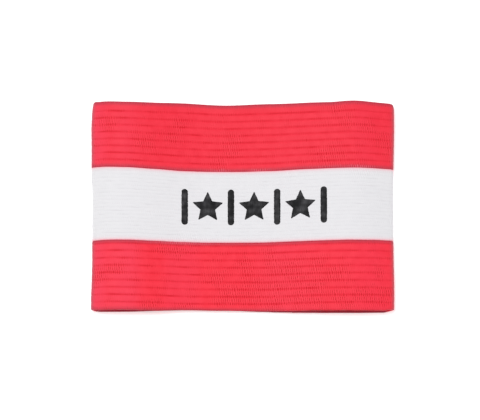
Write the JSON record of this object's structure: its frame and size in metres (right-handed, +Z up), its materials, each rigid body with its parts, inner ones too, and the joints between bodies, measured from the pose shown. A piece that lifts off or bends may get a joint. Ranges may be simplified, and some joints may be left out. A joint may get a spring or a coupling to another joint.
{
  "type": "captain's armband",
  "caption": "Wide loop of ribbed elastic in red and white stripes with a row of printed marks, worn round the upper arm.",
  "frame": {"origin": "on the floor under the middle of the flattened loop", "axes": "+X along the flattened loop from fold to fold, +Y across the band towards its far edge, +Z up; the arm goes in along Y"},
  "size_m": [0.128, 0.0903, 0.0095],
  "materials": {
    "red_elastic": "ribbed woven elastic",
    "white_elastic": "ribbed woven elastic",
    "black_print": "matte ink on the cloth"
  },
  "bodies": {
    "root": {"stripe_near": "red_elastic", "stripe_middle": "white_elastic", "stripe_far": "red_elastic", "print_bar_1": "black_print", "print_star_1": "black_print", "print_bar_2": "black_print", "print_star_2": "black_print", "print_bar_3": "black_print", "print_star_3": "black_print", "print_bar_4": "black_print"}
  },
  "joints": []
}
